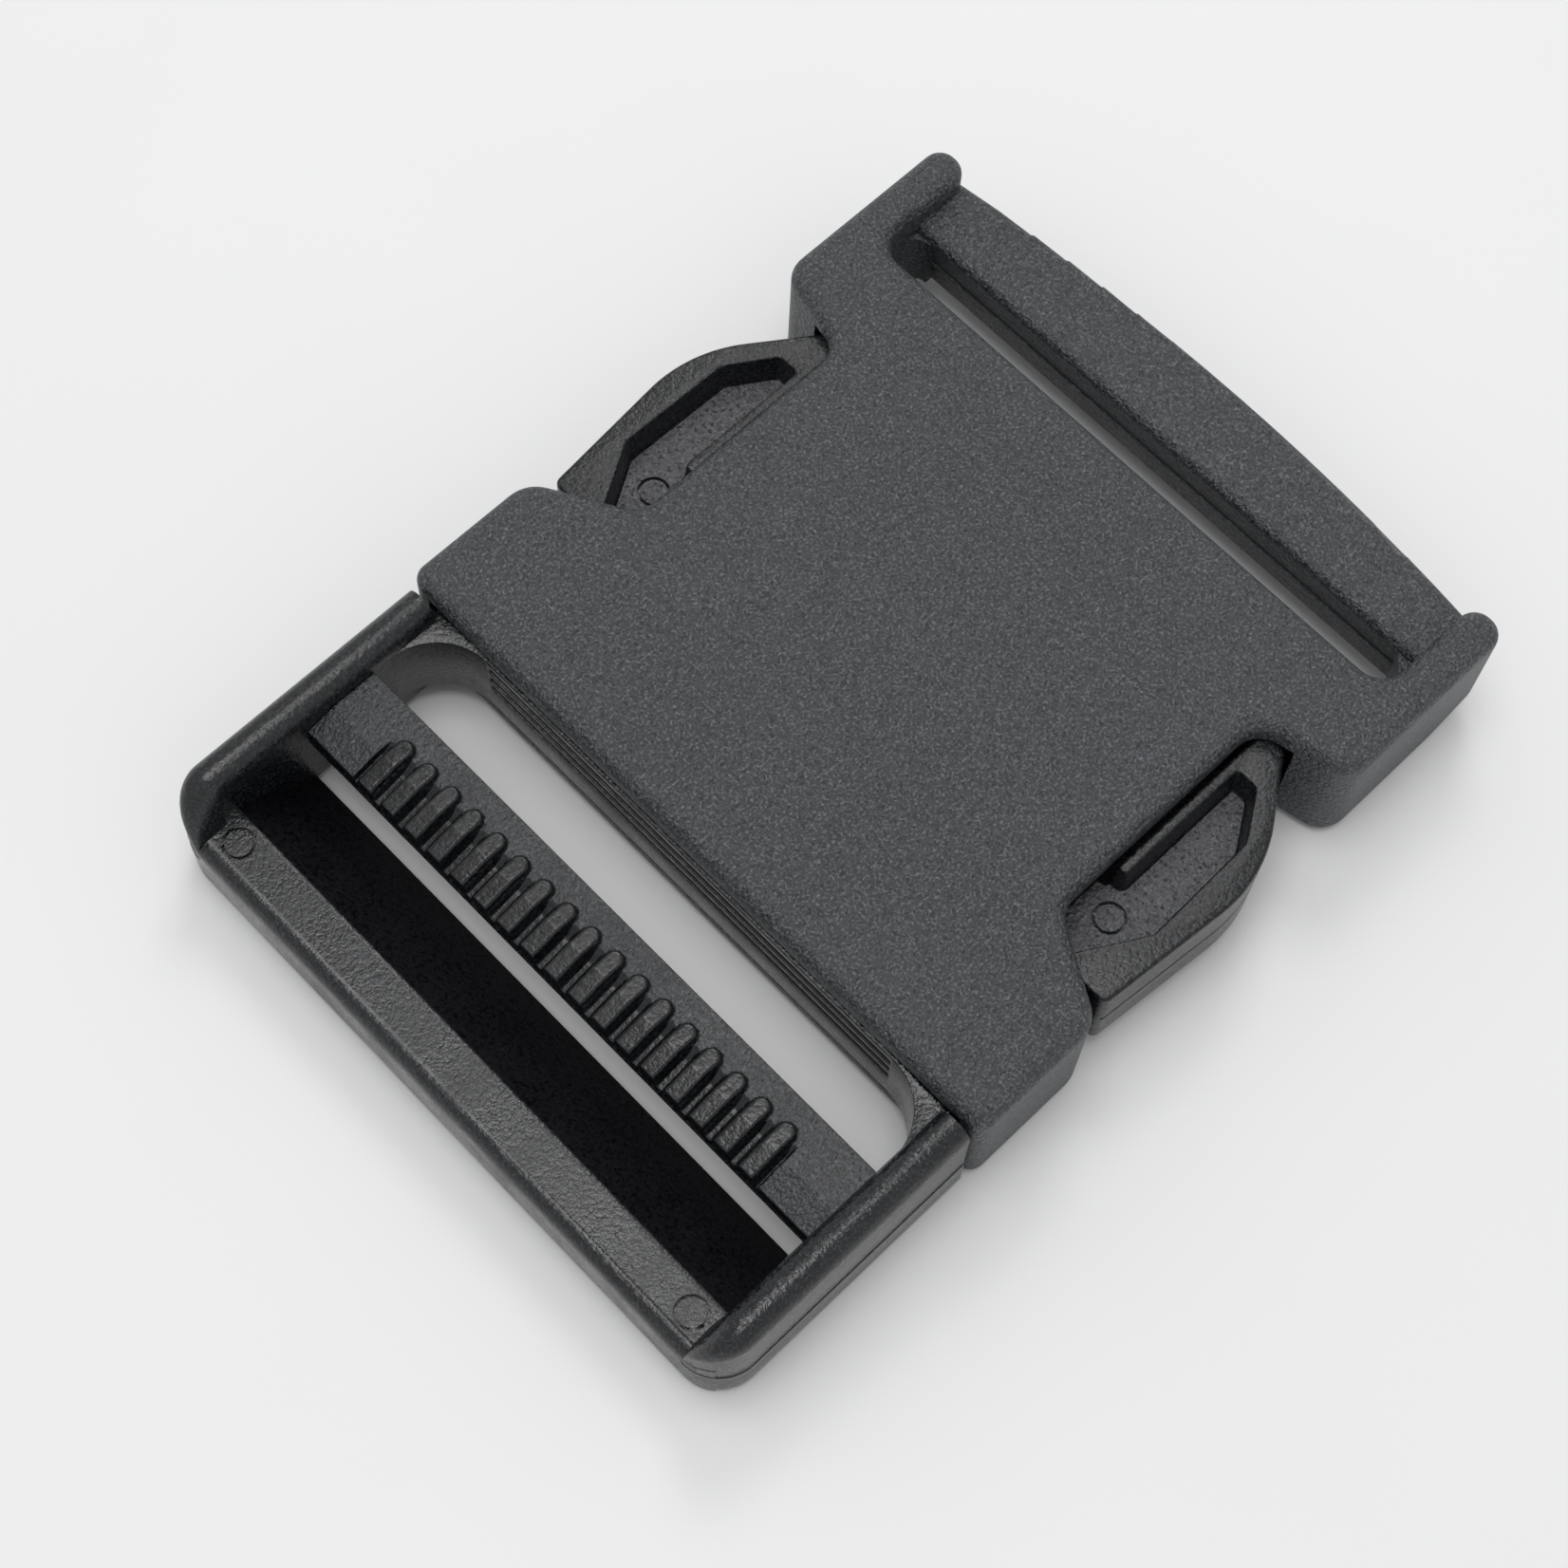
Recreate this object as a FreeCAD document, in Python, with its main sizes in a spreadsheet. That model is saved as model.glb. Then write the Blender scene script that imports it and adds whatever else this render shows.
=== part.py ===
"""Side-release buckle with a webbing adjuster, for 50 mm webbing.

+X runs from the plug's outer end to the socket's strap end, +Z is up, and the origin is at the
bottom centre of the closed buckle. Lengths are in millimetres. Each size is a distance from the
origin or a plain length; a place on the plug's side of the origin takes its minus sign where it
is used.
"""
import FreeCAD, Part
import os
import Sketcher

SIZES = {
    # Socket: plan outline
    "base_z": 0.0,
    "socket_height": 12.0,
    "half_width": 29.6,
    "mouth_x": 16.4,
    "mouth_corner_radius": 1.3,
    "collar_end_x": 4.8,
    "collar_corner_radius": 3.0,
    "window_rear_x": 0.3,
    "window_front_x": 20.4,
    "window_inner_y": 21.8,
    "window_corner_radius": 2.4,
    "shoulder_x": 22.0,
    "shoulder_radius": 2.4,
    "rail_tip_x": 39.4,
    "rail_inner_y": 26.2,
    "rail_tip_radius": 1.6,
    "slot_body_x": 29.2,
    "slot_corner_radius": 2.2,
    "slot_web_radius": 1.6,
    "slot_web_root": 0.5,
    "outer_edge_radius": 1.2,
    "rail_taper_x": 31.0,
    "rail_taper_height": 3.2,
    # Socket: inside
    "plate_thickness": 1.8,
    "collar_inner_y": 27.6,
    "latch_face_x": 4.0,
    "cavity_side_y": 31.0,
    "window_wall_x": 20.9,
    "tip_pocket_y": 25.0,
    "cavity_front_x": 23.6,
    "guide_rib_rear_x": 9.0,
    "guide_rib_inner_y": 7.2,
    "guide_rib_outer_y": 8.8,
    # Socket: strap bar
    "strap_bar_inner_x": 33.5,
    "strap_bar_foot_x": 34.4,
    "strap_bar_end_x": 39.114,
    "strap_bar_half_length": 27.4,
    "strap_bar_bow_radius": 200.0,
    "strap_bar_drop": 2.5,
    "strap_bar_edge_radius": 0.8,
    # Plug: frame
    "plug_end_x": 41.0,
    "plug_half_width": 29.2,
    "plug_rail_inner_y": 26.2,
    "plug_bottom_z": 0.3,
    "plug_rail_top_z": 11.3,
    "plug_rail_end_x": 16.9,
    "plug_corner_radius": 3.6,
    "plug_end_slope_radius": 4.4,
    "rail_crown_radius": 1.3,
    "rail_foot_radius": 0.7,
    "end_bar_top_z": 6.3,
    "ramp_top_x": 36.6,
    "ramp_foot_x": 29.4,
    "end_lip_radius": 1.2,
    "end_foot_radius": 0.6,
    "beam_outer_x": 16.5,
    "beam_inner_x": 12.2,
    "beam_half_width": 27.2,
    "beam_bottom_z": 2.3,
    "beam_top_z": 9.5,
    "web_radius": 5.0,
    # Plug: grip bar
    "grip_front_x": 23.0,
    "grip_crease_x": 27.0,
    "grip_rear_x": 29.5,
    "grip_top_z": 9.5,
    "grip_rear_z": 8.8,
    "grip_bottom_z": 6.5,
    "grip_rib_count": 17.0,
    "grip_rib_span": 19.86,
    "grip_rib_half_width": 0.85,
    "grip_rib_nose_radius": 0.9,
    "grip_rib_rise": 0.5,
    "grip_rib_tip_x": 24.8,
    # Plug: guide tongue
    "tongue_half_width": 6.6,
    "tongue_shoulder_x": 11.0,
    "tongue_tip_x": 15.0,
    "tongue_tip_half_width": 4.4,
    "tongue_bottom_z": 2.4,
    "tongue_top_z": 9.6,
    # Arms
    "arm_bottom_z": 2.05,
    "arm_top_z": 9.95,
    "knuckle_x": 13.4,
    "knuckle_y": 22.8,
    "knuckle_radius": 1.5,
    "knuckle_clearance": 0.15,
    "knuckle_mouth_half": 1.8,
    "arm_inner_y": 21.3,
    "pad_step_x": 4.6,
    "pad_inner_y": 22.1,
    "arm_beam_y": 24.3,
    "hook_x": 2.9,
    "hook_y": 28.7,
    "arm_crest_x": 12.5,
    "arm_crest_y": 30.2,
    "arm_crest_radius": 12.0,
    "arm_tip_x": 21.3,
    "arm_tip_y": 24.0,
    "arm_tip_radius": 0.9,
    "arm_fork_radius": 1.5,
    "arm_floor_z": 7.3,
    "arm_ceiling_z": 4.7,
    "pocket_rear_x": 3.0,
    "pocket_rear_y": 23.8,
    "pocket_corner_x": 3.5,
    "pocket_corner_y": 27.6,
    "pocket_crest_x": 13.4,
    "pocket_crest_y": 27.4,
    "pocket_tip_x": 17.3,
    "pocket_tip_y": 24.9,
    "pocket_inner_y": 22.9,
    "pocket_notch_x": 5.4,
    "pocket_open_y": 20.5,
    # Ejector marks
    "ejector_radius": 1.3,
    "ejector_ring": 0.18,
    "ejector_depth": 0.12,
    "ejector_arm_x": 3.0,
    "ejector_arm_y": 24.0,
    "ejector_bar_x": 38.4,
    "ejector_bar_y": 23.9,
}

TOLERANCE = 1e-4

doc = FreeCAD.newDocument("side_release_buckle")


def fill_sheet():
    """Put every driving size in the sheet as plain text with its alias."""
    sheet = doc.addObject("Spreadsheet::Sheet", "Sizes")
    for row, (alias, value) in enumerate(SIZES.items(), start=1):
        sheet.set("A%d" % row, alias)
        sheet.set("B%d" % row, str(value))
        sheet.setAlias("B%d" % row, alias)
    doc.recompute()


def measure(text):
    """Value and sheet expression of sizes added up, written such as "- mouth_x + web_radius"."""
    value = 0.0
    expression = ""
    sign = 1
    for word in text.split():
        if word in ("+", "-"):
            sign = 1 if word == "+" else -1
            continue
        value += sign * SIZES[word]
        expression += " %s Sizes.%s" % ("+" if sign > 0 else "-", word)
        sign = 1
    return value, "0 mm" + expression.replace("Sizes.", "1 mm * Sizes.")


def new_body(label):
    body = doc.addObject("PartDesign::Body", label)
    body.Label = label
    return body


def new_sketch(body, name, plane_role, height=None):
    """Sketch on one of the body's own origin planes, raised by a size where height is given."""
    plane = [item for item in body.Origin.OriginFeatures if item.Role == plane_role][0]
    sketch = body.newObject("Sketcher::SketchObject", body.Name + "_" + name)
    sketch.AttachmentSupport = [(plane, "")]
    sketch.MapMode = "FlatFace"
    if height:
        sketch.setExpression("AttachmentOffset.Base.z", measure(height)[1])
    return sketch


def bind(sketch, constraint, text):
    sketch.setExpression("Constraints[%d]" % constraint, measure(text)[1])


def place(sketch, item, point, spot):
    """Tie one point of a sketch to the two sizes of its spot."""
    for kind, text in zip(("DistanceX", "DistanceY"), spot):
        index = sketch.addConstraint(Sketcher.Constraint(kind, -1, 1, item, point, measure(text)[0]))
        bind(sketch, index, text)


def outline(sketch, spots, arcs=None):
    """Closed outline through spots. arcs gives the radius and bend of the side after a spot.

    A bend of 1 is an arc that runs anticlockwise and -1 one that runs clockwise.
    """
    arcs = arcs or {}
    first = sketch.GeometryCount
    count = len(spots)
    points = [FreeCAD.Vector(measure(x)[0], measure(y)[0], 0) for x, y in spots]
    for index in range(count):
        start = points[index]
        end = points[(index + 1) % count]
        if index in arcs:
            radius_name, bend = arcs[index]
            middle = arc_middle(start, end, SIZES[radius_name], bend)
            side = Part.Arc(start, middle, end) if bend > 0 else Part.Arc(end, middle, start)
        else:
            side = Part.LineSegment(start, end)
        sketch.addGeometry(side, False)
    for index in range(count):
        clockwise = index in arcs and arcs[index][1] < 0
        start_end = (2, 1) if clockwise else (1, 2)
        place(sketch, first + index, start_end[0], spots[index])
        if index in arcs:
            place(sketch, first + index, start_end[1], spots[(index + 1) % count])
            radius = sketch.addConstraint(
                Sketcher.Constraint("Radius", first + index, SIZES[arcs[index][0]]))
            bind(sketch, radius, arcs[index][0])
        elif (index + 1) % count in arcs:
            place(sketch, first + index, 2, spots[(index + 1) % count])
        else:
            sketch.addConstraint(Sketcher.Constraint(
                "Coincident", first + index, 2, first + (index + 1) % count, 1))


def arc_middle(start, end, radius, bend):
    """Middle point of the short arc from start to end."""
    chord = end - start
    half = chord.Length / 2
    sag = radius - (radius * radius - half * half) ** 0.5
    left = FreeCAD.Vector(-chord.y, chord.x, 0).normalize()
    return (start + end) / 2 - left * sag * bend


def circle(sketch, spot, radius_text):
    item = sketch.addGeometry(Part.Circle(
        FreeCAD.Vector(measure(spot[0])[0], measure(spot[1])[0], 0),
        FreeCAD.Vector(0, 0, 1), measure(radius_text)[0]), False)
    place(sketch, item, 3, spot)
    bind(sketch, sketch.addConstraint(
        Sketcher.Constraint("Radius", item, measure(radius_text)[0])), radius_text)


def ring_marks(body, name, spots, surface):
    """Shallow ring left by a round ejector pin at each spot of a level surface."""
    sketch = new_sketch(body, name, "XY_Plane", surface)
    for spot in spots:
        circle(sketch, spot, "ejector_radius")
        circle(sketch, spot, "ejector_radius - ejector_ring")
    pocket(body, sketch, "ejector_depth")


def mirrored(spots):
    """The same spots on the other side of the XZ plane, in reverse order."""
    return [(x, flip(y)) for x, y in reversed(spots)]


def flip(text):
    """The negative of a written measure."""
    words = text.split()
    if words[0] not in ("+", "-"):
        words.insert(0, "+")
    return " ".join({"+": "-", "-": "+"}.get(word, word) for word in words)


def pad(body, sketch, length, midplane=False):
    feature = body.newObject("PartDesign::Pad", sketch.Name + "_pad")
    feature.Profile = sketch
    feature.setExpression("Length", measure(length)[1])
    feature.Midplane = midplane
    sketch.Visibility = False
    doc.recompute()
    return feature


def pocket(body, sketch, length, midplane=False, upwards=False):
    """Cut a sketch out of the body, and stop if nothing was removed."""
    before = body.Shape.Volume
    feature = body.newObject("PartDesign::Pocket", sketch.Name + "_pocket")
    feature.Profile = sketch
    feature.setExpression("Length", measure(length)[1])
    feature.Midplane = midplane
    feature.Reversed = upwards
    sketch.Visibility = False
    doc.recompute()
    if body.Shape.Volume > before - TOLERANCE:
        raise RuntimeError("%s removed nothing" % feature.Name)
    return feature


def fillet(body, name, radius, wanted):
    """Round the edges of the body for which wanted(edge) is true."""
    base = body.Tip
    edges = ["Edge%d" % number for number, edge in enumerate(base.Shape.Edges, start=1)
             if wanted(edge)]
    if not edges:
        raise RuntimeError("%s found no edges" % name)
    feature = body.newObject("PartDesign::Fillet", body.Name + "_" + name)
    feature.Base = (base, edges)
    feature.setExpression("Radius", measure(radius)[1])
    doc.recompute()
    return feature


def upright_at(spots):
    """Test for a vertical edge that stands on one of the spots, on either side of the XZ plane."""
    places = [(measure(x)[0], abs(measure(y)[0])) for x, y in spots]

    def test(edge):
        ends = [vertex.Point for vertex in edge.Vertexes]
        if len(ends) != 2 or abs(ends[0].z - ends[1].z) < TOLERANCE:
            return False
        if abs(ends[0].x - ends[1].x) + abs(ends[0].y - ends[1].y) > TOLERANCE:
            return False
        return any(abs(ends[0].x - x) + abs(abs(ends[0].y) - y) < TOLERANCE for x, y in places)

    return test


def level_at(*heights):
    """Test for an edge that lies wholly at one of the heights."""
    levels = [measure(height)[0] for height in heights]

    def test(edge):
        box = edge.BoundBox
        return any(abs(box.ZMin - z) + abs(box.ZMax - z) < TOLERANCE for z in levels)

    return test


def box(label, low, high):
    """Part box between two corners given as written measures."""
    item = doc.addObject("Part::Box", label)
    item.Label = label
    for side, low_text, high_text in zip(("Length", "Width", "Height"), low, high):
        item.setExpression(side, "(%s) - (%s)" % (measure(high_text)[1], measure(low_text)[1]))
    for axis, low_text in zip("xyz", low):
        item.setExpression("Placement.Base." + axis, measure(low_text)[1])
    doc.recompute()
    return item


def make_socket_body():
    """The socket moulding but for its strap bar: collar, windows, shoulder block and rails."""
    body = new_body("socket_body")
    side = [
        ("- mouth_x", "half_width"),
        ("- collar_end_x", "half_width"),
        ("- window_rear_x", "window_inner_y"),
        ("window_front_x", "window_inner_y"),
        ("shoulder_x", "half_width"),
        ("rail_tip_x", "half_width"),
        ("rail_tip_x", "rail_inner_y"),
        ("slot_body_x", "rail_inner_y"),
    ]
    plan = new_sketch(body, "plan", "XY_Plane")
    outline(plan, side + mirrored(side))
    pad(body, plan, "socket_height")
    fillet(body, "mouth_corners", "mouth_corner_radius", upright_at(side[0:1]))
    fillet(body, "collar_corners", "collar_corner_radius", upright_at(side[1:2]))
    fillet(body, "window_corners", "window_corner_radius", upright_at(side[2:4]))
    fillet(body, "shoulders", "shoulder_radius", upright_at(side[4:5]))
    fillet(body, "rail_tips", "rail_tip_radius", upright_at(side[5:7]))
    fillet(body, "slot_corners", "slot_corner_radius", upright_at(side[7:8]))
    fillet(body, "outer_edges", "outer_edge_radius", level_at("socket_height", "base_z"))

    cavity_side = [
        ("- mouth_x - mouth_corner_radius", "collar_inner_y"),
        ("- latch_face_x", "collar_inner_y"),
        ("- latch_face_x", "cavity_side_y"),
        ("window_wall_x", "cavity_side_y"),
        ("window_wall_x", "tip_pocket_y"),
        ("cavity_front_x", "tip_pocket_y"),
    ]
    cavity = new_sketch(body, "cavity", "XY_Plane", "socket_height - plate_thickness")
    outline(cavity, cavity_side + mirrored(cavity_side))
    pocket(body, cavity, "socket_height - plate_thickness - plate_thickness")

    taper = new_sketch(body, "taper", "XZ_Plane")
    outline(taper, [
        ("rail_taper_x", "base_z"),
        ("rail_tip_x", "base_z"),
        ("rail_tip_x", "rail_taper_height"),
    ])
    pocket(body, taper, "half_width + half_width", midplane=True)
    return body


def make_strap_bar():
    """The sewn webbing's bar between the rails, with a bowed outer face and a leaning inner one."""
    body = new_body("strap_bar")
    plan = new_sketch(body, "plan", "XY_Plane", "strap_bar_drop")
    outline(plan, [
        ("strap_bar_inner_x", "- strap_bar_half_length"),
        ("strap_bar_end_x", "- strap_bar_half_length"),
        ("strap_bar_end_x", "strap_bar_half_length"),
        ("strap_bar_inner_x", "strap_bar_half_length"),
    ], {1: ("strap_bar_bow_radius", 1)})
    pad(body, plan, "socket_height - strap_bar_drop - strap_bar_drop")
    lean = new_sketch(body, "lean", "XZ_Plane")
    outline(lean, [
        ("strap_bar_inner_x", "strap_bar_drop"),
        ("strap_bar_foot_x", "strap_bar_drop"),
        ("strap_bar_inner_x", "socket_height - strap_bar_drop"),
    ])
    pocket(body, lean, "strap_bar_half_length + strap_bar_half_length", midplane=True)
    fillet(body, "edges", "strap_bar_edge_radius", long_across)
    return body


def make_slot_webs():
    """The two webs that round the sewn slot's corners between the strap bar and the rails."""
    left = [
        ("strap_bar_inner_x", "rail_inner_y - slot_web_radius"),
        ("strap_bar_foot_x + slot_web_root", "rail_inner_y - slot_web_radius"),
        ("strap_bar_foot_x + slot_web_root", "rail_inner_y + slot_web_root"),
        ("strap_bar_inner_x - slot_web_radius", "rail_inner_y + slot_web_root"),
        ("strap_bar_inner_x - slot_web_radius", "rail_inner_y"),
    ]
    webs = []
    for label, corners, arc_side in (("slot_web_left", left, 4), ("slot_web_right", mirrored(left), 0)):
        body = new_body(label)
        plan = new_sketch(body, "plan", "XY_Plane", "strap_bar_drop + strap_bar_edge_radius")
        outline(plan, corners, {arc_side: ("slot_web_radius", -1)})
        pad(body, plan, "socket_height - strap_bar_drop - strap_bar_drop "
                        "- strap_bar_edge_radius - strap_bar_edge_radius")
        webs.append(body)
    return webs


def long_across(edge):
    """Test for an edge that runs nearly the whole width of the buckle."""
    return edge.BoundBox.YLength > SIZES["rail_inner_y"]


def fuse(label, pieces):
    item = doc.addObject("Part::MultiFuse", label)
    item.Label = label
    item.Shapes = pieces
    item.Refine = True
    doc.recompute()
    return item


def make_guide_ribs():
    """Two ribs of the socket moulding that guide the plug's tongue and join the plates."""
    low = ("- guide_rib_rear_x", "guide_rib_inner_y", "plate_thickness")
    high = ("cavity_front_x", "guide_rib_outer_y", "socket_height - plate_thickness")
    left = box("socket_guide_rib_left", low, high)
    low = ("- guide_rib_rear_x", "- guide_rib_outer_y", "plate_thickness")
    high = ("cavity_front_x", "- guide_rib_inner_y", "socket_height - plate_thickness")
    right = box("socket_guide_rib_right", low, high)
    return [left, right]


def make_plug_frame():
    """The plug's frame: side rails, end bar with its ramp, and the base beam in the mouth."""
    body = new_body("plug_frame")
    rails = new_sketch(body, "rails", "XY_Plane", "plug_bottom_z")
    rail = [
        ("- plug_end_x", "plug_rail_inner_y"),
        ("- plug_rail_end_x", "plug_rail_inner_y"),
        ("- plug_rail_end_x", "plug_half_width"),
        ("- plug_end_x", "plug_half_width"),
    ]
    outline(rails, rail)
    outline(rails, mirrored(rail))
    pad(body, rails, "plug_rail_top_z - plug_bottom_z")
    fillet(body, "crowns", "rail_crown_radius", long_and_level("plug_rail_top_z"))
    fillet(body, "feet", "rail_foot_radius", long_and_level("plug_bottom_z"))

    slope = new_sketch(body, "end_slope", "XZ_Plane")
    outline(slope, [
        ("- plug_end_x", "plug_rail_top_z - plug_end_slope_radius"),
        ("- plug_end_x + plug_end_slope_radius", "plug_rail_top_z"),
        ("- plug_end_x", "plug_rail_top_z"),
    ], {0: ("plug_end_slope_radius", -1)})
    pocket(body, slope, "plug_half_width + plug_half_width", midplane=True)

    end_bar = new_sketch(body, "end_bar", "XZ_Plane")
    outline(end_bar, [
        ("- plug_end_x", "plug_bottom_z + end_foot_radius"),
        ("- plug_end_x + end_foot_radius", "plug_bottom_z"),
        ("- ramp_foot_x", "plug_bottom_z"),
        ("- ramp_top_x", "end_bar_top_z"),
        ("- plug_end_x + end_lip_radius", "end_bar_top_z"),
        ("- plug_end_x", "end_bar_top_z - end_lip_radius"),
    ], {0: ("end_foot_radius", 1), 4: ("end_lip_radius", 1)})
    pad(body, end_bar, "plug_rail_inner_y + plug_half_width", midplane=True)

    corners = new_sketch(body, "corners", "XY_Plane")
    corner = [
        ("- plug_end_x", "plug_half_width"),
        ("- plug_end_x", "plug_half_width - plug_corner_radius"),
        ("- plug_end_x + plug_corner_radius", "plug_half_width"),
    ]
    outline(corners, corner, {1: ("plug_corner_radius", -1)})
    outline(corners, mirrored(corner), {0: ("plug_corner_radius", -1)})
    pocket(body, corners, "plug_rail_top_z", upwards=True)

    beam_side = [
        ("- beam_outer_x - web_radius", "plug_rail_inner_y"),
        ("- beam_outer_x", "plug_rail_inner_y - web_radius"),
    ]
    inner_side = [
        ("- beam_inner_x", "beam_half_width"),
        ("- plug_rail_end_x", "beam_half_width"),
        ("- plug_rail_end_x", "plug_rail_inner_y + rail_foot_radius"),
        ("- beam_outer_x - web_radius", "plug_rail_inner_y + rail_foot_radius"),
    ]
    beam = new_sketch(body, "beam", "XY_Plane", "beam_bottom_z")
    outline(beam, beam_side + mirrored(beam_side) + mirrored(inner_side) + inner_side,
            {0: ("web_radius", -1), 2: ("web_radius", -1)})
    pad(body, beam, "beam_top_z - beam_bottom_z")

    seats = new_sketch(body, "knuckle_seats", "XY_Plane", "beam_top_z")
    circle(seats, ("- knuckle_x", "knuckle_y"), "knuckle_radius + knuckle_clearance")
    circle(seats, ("- knuckle_x", "- knuckle_y"), "knuckle_radius + knuckle_clearance")
    pocket(body, seats, "beam_top_z - beam_bottom_z")

    mouths = new_sketch(body, "seat_mouths", "XY_Plane", "beam_top_z")
    mouth = [
        ("- knuckle_x", "knuckle_y - knuckle_mouth_half"),
        ("- beam_inner_x", "knuckle_y - knuckle_mouth_half"),
        ("- beam_inner_x", "knuckle_y + knuckle_mouth_half"),
        ("- knuckle_x", "knuckle_y + knuckle_mouth_half"),
    ]
    outline(mouths, mouth)
    outline(mouths, mirrored(mouth))
    pocket(body, mouths, "beam_top_z - beam_bottom_z")

    bar_mark = [("- ejector_bar_x", "ejector_bar_y")]
    ring_marks(body, "end_bar_marks", bar_mark + mirrored(bar_mark), "end_bar_top_z")
    return body


def long_and_level(height):
    """Test for a long edge along the buckle at one height."""
    level = measure(height)[0]

    def test(edge):
        box = edge.BoundBox
        flat = abs(box.ZMin - level) + abs(box.ZMax - level) < TOLERANCE
        return flat and box.XLength > SIZES["web_radius"]

    return test


def make_grip_bar():
    """The crossbar that the webbing is pulled over, with a row of round-nosed ribs."""
    body = new_body("plug_grip_bar")
    section = new_sketch(body, "section", "XZ_Plane")
    outline(section, [
        ("- grip_rear_x", "grip_rear_z"),
        ("- grip_rear_x", "grip_bottom_z"),
        ("- grip_front_x", "grip_bottom_z"),
        ("- grip_front_x", "grip_top_z"),
        ("- grip_crease_x", "grip_top_z"),
    ])
    pad(body, section, "plug_rail_inner_y + plug_rail_inner_y", midplane=True)

    rib = new_sketch(body, "rib", "XY_Plane", "grip_rear_z - grip_rib_rise")
    first = "grip_rib_span"
    outline(rib, [
        ("- grip_rear_x", first + " - grip_rib_half_width"),
        ("- grip_rib_tip_x - grip_rib_half_width", first + " - grip_rib_half_width"),
        ("- grip_rib_tip_x - grip_rib_half_width", first + " + grip_rib_half_width"),
        ("- grip_rear_x", first + " + grip_rib_half_width"),
    ], {1: ("grip_rib_nose_radius", 1)})
    rib_pad = pad(body, rib, "grip_top_z - grip_rear_z + grip_rib_rise + grip_rib_rise")
    row = body.newObject("PartDesign::LinearPattern", "plug_grip_bar_rib_row")
    row.Originals = [rib_pad]
    row.Direction = (rib, ["V_Axis"])
    row.Reversed = True
    row.setExpression("Length", measure("grip_rib_span + grip_rib_span")[1])
    row.setExpression("Occurrences", "Sizes.grip_rib_count")
    body.Tip = row
    doc.recompute()

    fall = new_sketch(body, "rib_fall", "XZ_Plane")
    outline(fall, [
        ("- grip_rear_x", "grip_rear_z + grip_rib_rise"),
        ("- grip_crease_x", "grip_top_z + grip_rib_rise"),
        ("- grip_rear_x", "grip_top_z + grip_rib_rise"),
    ])
    pocket(body, fall, "plug_rail_inner_y + plug_rail_inner_y", midplane=True)
    return body


def make_tongue():
    """The plug's middle tongue, which slides between the socket's guide ribs."""
    body = new_body("plug_guide_tongue")
    plan = new_sketch(body, "plan", "XY_Plane", "tongue_bottom_z")
    side = [
        ("- beam_inner_x", "tongue_half_width"),
        ("tongue_shoulder_x", "tongue_half_width"),
        ("tongue_tip_x", "tongue_tip_half_width"),
    ]
    outline(plan, side + mirrored(side))
    pad(body, plan, "tongue_top_z - tongue_bottom_z")
    return body


def make_arm(label, to_side):
    """One sprung arm: root knuckle, slim beam, latch hook and the pocketed press pad."""
    body = new_body(label)
    plan = new_sketch(body, "plan", "XY_Plane", "arm_bottom_z")
    outline(plan, to_side([
        ("- knuckle_x", "arm_inner_y"),
        ("pad_step_x", "arm_inner_y"),
        ("pad_step_x", "pad_inner_y"),
        ("arm_tip_x", "pad_inner_y"),
        ("arm_tip_x", "arm_tip_y"),
        ("arm_crest_x", "arm_crest_y"),
        ("- hook_x", "hook_y"),
        ("- hook_x", "arm_beam_y"),
        ("- knuckle_x", "arm_beam_y"),
    ]))
    pad(body, plan, "arm_top_z - arm_bottom_z")
    fillet(body, "crest", "arm_crest_radius", upright_at([("arm_crest_x", "arm_crest_y")]))
    fillet(body, "tip", "arm_tip_radius",
           upright_at([("arm_tip_x", "arm_tip_y"), ("arm_tip_x", "pad_inner_y")]))
    fillet(body, "fork", "arm_fork_radius", upright_at([("- hook_x", "arm_beam_y")]))

    knuckle = new_sketch(body, "knuckle", "XY_Plane", "arm_bottom_z")
    circle(knuckle, to_side([("- knuckle_x", "knuckle_y")])[0], "knuckle_radius")
    pad(body, knuckle, "arm_top_z - arm_bottom_z")

    hollow = to_side([
        ("- pocket_rear_x", "pocket_open_y"),
        ("pocket_notch_x", "pocket_open_y"),
        ("pocket_notch_x", "pocket_inner_y"),
        ("pocket_tip_x", "pocket_inner_y"),
        ("pocket_tip_x", "pocket_tip_y"),
        ("pocket_crest_x", "pocket_crest_y"),
        ("pocket_corner_x", "pocket_corner_y"),
        ("- pocket_rear_x", "pocket_rear_y"),
    ])
    top = new_sketch(body, "top_pocket", "XY_Plane", "arm_top_z")
    outline(top, hollow)
    pocket(body, top, "arm_top_z - arm_floor_z")
    below = new_sketch(body, "bottom_pocket", "XY_Plane", "arm_bottom_z")
    outline(below, hollow)
    pocket(body, below, "arm_ceiling_z - arm_bottom_z", upwards=True)
    ring_marks(body, "floor_mark", to_side([("ejector_arm_x", "ejector_arm_y")]), "arm_floor_z")
    return body


def to_left(spots):
    return spots


fill_sheet()
socket = fuse("socket_shell", [make_socket_body(), make_strap_bar(), *make_slot_webs()])
nodes = [
    socket,
    *make_guide_ribs(),
    make_plug_frame(),
    make_grip_bar(),
    make_tongue(),
    make_arm("left_arm", to_left),
    make_arm("right_arm", mirrored),
]

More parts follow.
